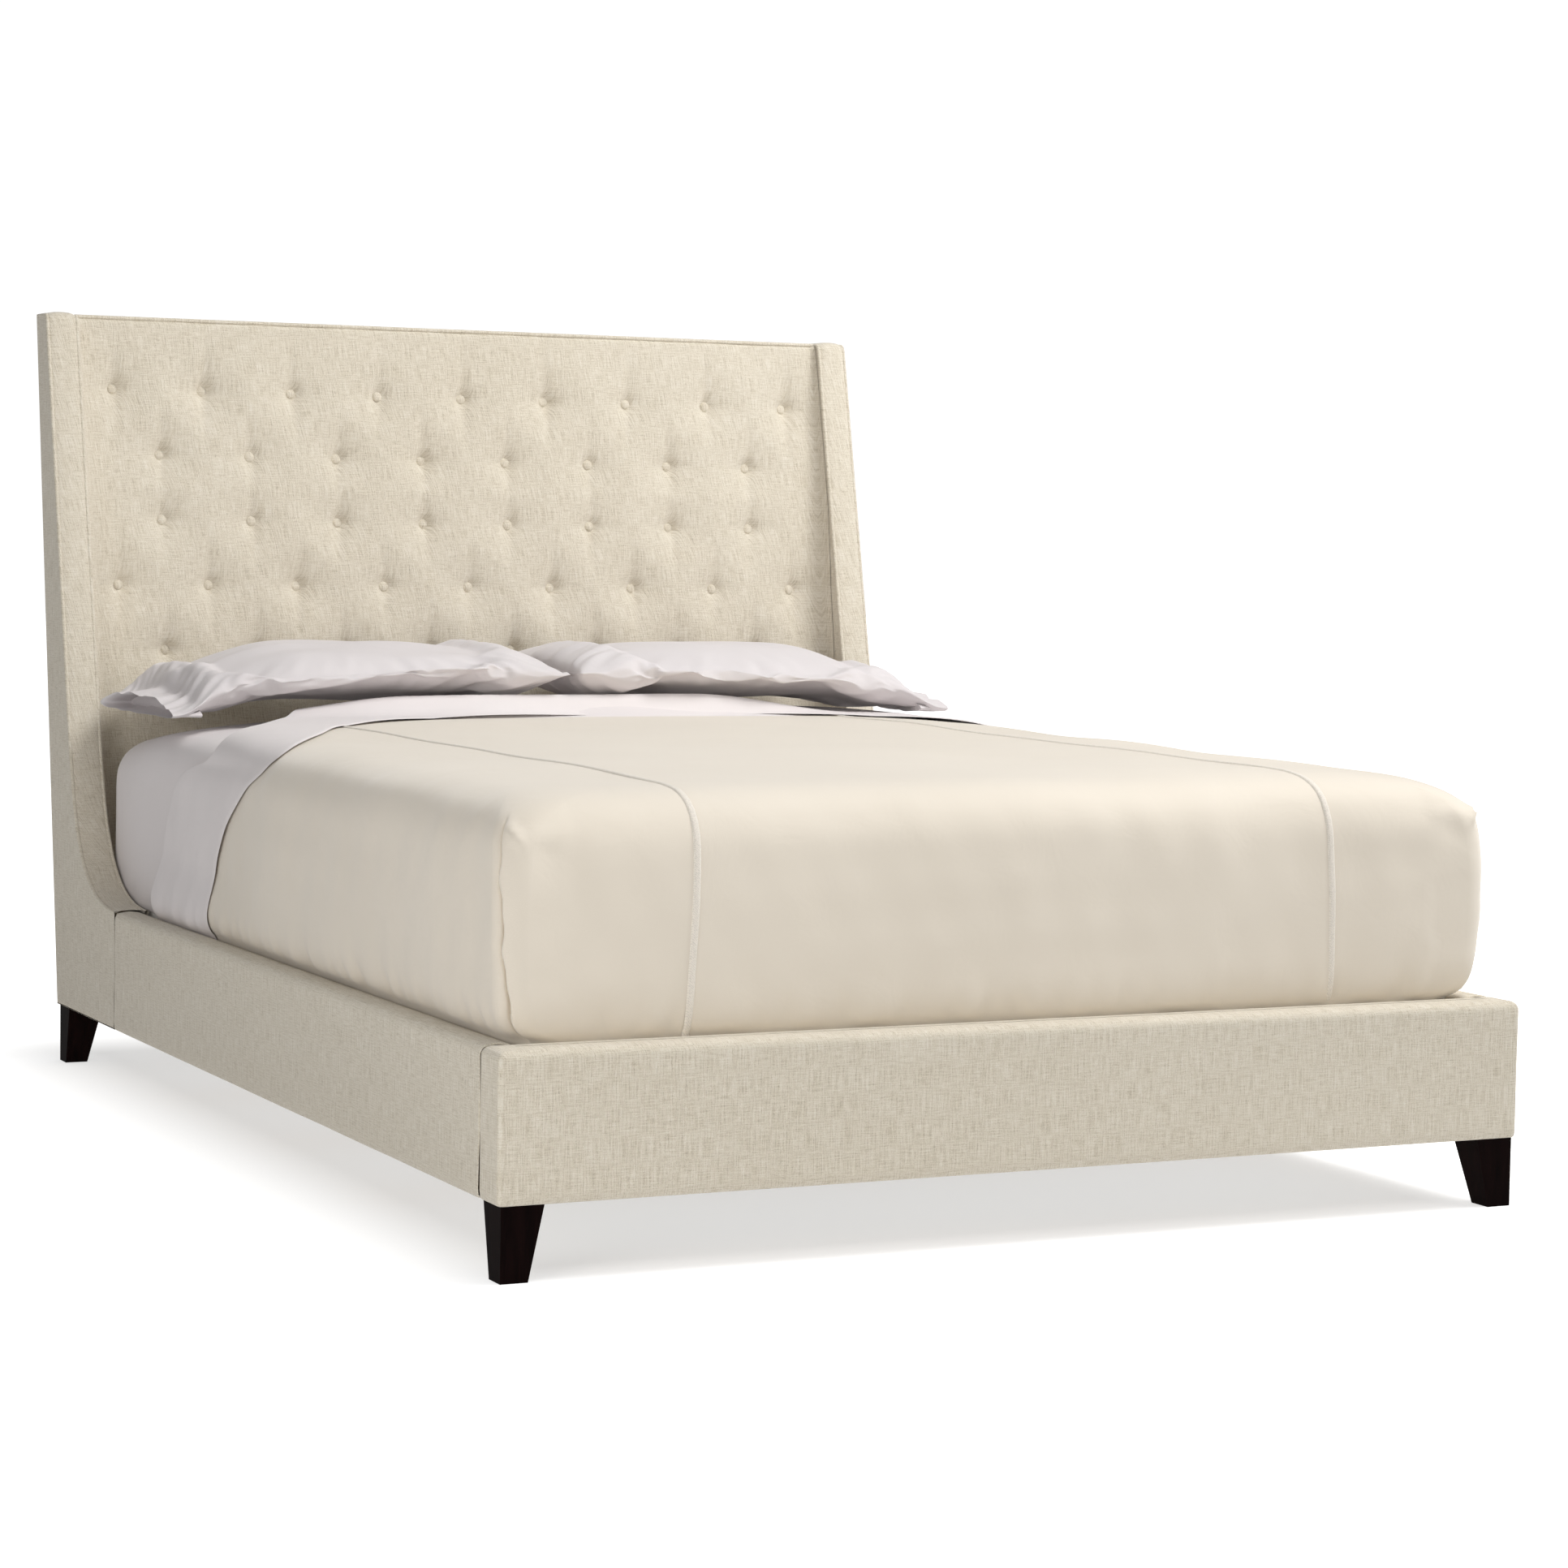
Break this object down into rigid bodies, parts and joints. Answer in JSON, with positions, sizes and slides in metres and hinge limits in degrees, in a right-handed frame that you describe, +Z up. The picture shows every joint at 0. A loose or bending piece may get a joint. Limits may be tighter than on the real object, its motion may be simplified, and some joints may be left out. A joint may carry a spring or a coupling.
{
  "type": "upholstered headboard bed",
  "caption": "Dressed queen bed with a leaning button-tufted headboard, shelter wings, padded rails, tapered dark legs and lift-out bedding.",
  "frame": {"origin": "on the floor, at the middle of the whole bed's width and depth", "axes": "+X across the bed, +Y from the foot to the headboard, +Z up"},
  "size_m": [1.65, 2.3688, 1.3735],
  "materials": {
    "upholstery": "slubby oatmeal linen weave, matt",
    "button_fabric": "the same weave stretched over button shells",
    "frame_lumber": "bare kiln-dried lumber and plywood",
    "leg_wood": "espresso stain under satin lacquer",
    "bracket_steel": "zinc plated",
    "glide_plastic": "moulded, matt",
    "sheet_cotton": "white percale, matt",
    "coverlet_cotton": "warm cream sateen, matt",
    "mattress_fill": "foam and springs",
    "ticking": "white quilted ticking"
  },
  "bodies": {
    "bed_frame": {"button_row_1": "button_fabric", "button_row_2": "button_fabric", "button_row_3": "button_fabric", "button_row_4": "button_fabric", "button_row_5": "button_fabric", "centre_leg_1": "frame_lumber", "centre_leg_2": "frame_lumber", "centre_leg_3": "frame_lumber", "cross_slat_1": "frame_lumber", "cross_slat_2": "frame_lumber", "cross_slat_3": "frame_lumber", "foot_bracket_left": "bracket_steel", "foot_bracket_right": "bracket_steel", "foot_rail_core": "frame_lumber", "foot_rail_cover": "upholstery", "head_bracket_left": "bracket_steel", "head_bracket_right": "bracket_steel", "headboard_back_cover": "upholstery", "headboard_board": "frame_lumber", "headboard_bottom_rail": "frame_lumber", "headboard_stile_left": "frame_lumber", "headboard_stile_right": "frame_lumber", "headboard_top_rail": "frame_lumber", "headboard_tufted_pad": "upholstery", "inner_welt": "upholstery", "leg_front_left": "leg_wood", "leg_front_right": "leg_wood", "leg_rear_left": "leg_wood", "leg_rear_right": "leg_wood", "side_ledger_left": "frame_lumber", "side_ledger_right": "frame_lumber", "side_rail_core_left": "frame_lumber", "side_rail_core_right": "frame_lumber", "side_rail_cover_left": "upholstery", "side_rail_cover_right": "upholstery", "wing_board_left": "frame_lumber", "wing_board_right": "frame_lumber", "wing_front_band_left": "upholstery", "wing_front_band_right": "upholstery", "wing_inner_pad_left": "upholstery", "wing_inner_pad_right": "upholstery", "wing_outer_cover_left": "upholstery", "wing_outer_cover_right": "upholstery", "wing_outer_welt_left": "upholstery", "wing_outer_welt_right": "upholstery"},
    "foundation": {"foundation_core": "frame_lumber", "foundation_cover": "ticking"},
    "mattress": {"mattress_core": "mattress_fill", "mattress_cover": "ticking", "fitted_sheet": "sheet_cotton", "flat_sheet": "sheet_cotton", "coverlet": "coverlet_cotton"},
    "pillow_left": {"pillow_case_left": "sheet_cotton", "pillow_insert_left": "ticking"},
    "pillow_right": {"pillow_case_right": "sheet_cotton", "pillow_insert_right": "ticking"},
    "glide_1": {"centre_glide_1": "glide_plastic"},
    "glide_2": {"centre_glide_2": "glide_plastic"},
    "glide_3": {"centre_glide_3": "glide_plastic"}
  },
  "joints": [
    {"name": "foundation_lift", "type": "slide", "parent": "bed_frame", "child": "foundation", "axis": [0, 0, 1], "range_m": [0, 0.45]},
    {"name": "mattress_lift", "type": "slide", "parent": "foundation", "child": "mattress", "axis": [0, 0, 1], "range_m": [0, 0.45]},
    {"name": "pillow_lift_left", "type": "slide", "parent": "mattress", "child": "pillow_left", "axis": [0, 0, 1], "range_m": [0, 0.8]},
    {"name": "pillow_lift_right", "type": "slide", "parent": "mattress", "child": "pillow_right", "axis": [0, 0, 1], "range_m": [0, 0.8]},
    {"name": "glide_adjust_1", "type": "slide", "parent": "bed_frame", "child": "glide_1", "axis": [0, 0, 1], "range_m": [-0.001, 0.01]},
    {"name": "glide_adjust_2", "type": "slide", "parent": "bed_frame", "child": "glide_2", "axis": [0, 0, 1], "range_m": [-0.001, 0.01]},
    {"name": "glide_adjust_3", "type": "slide", "parent": "bed_frame", "child": "glide_3", "axis": [0, 0, 1], "range_m": [-0.001, 0.01]}
  ]
}
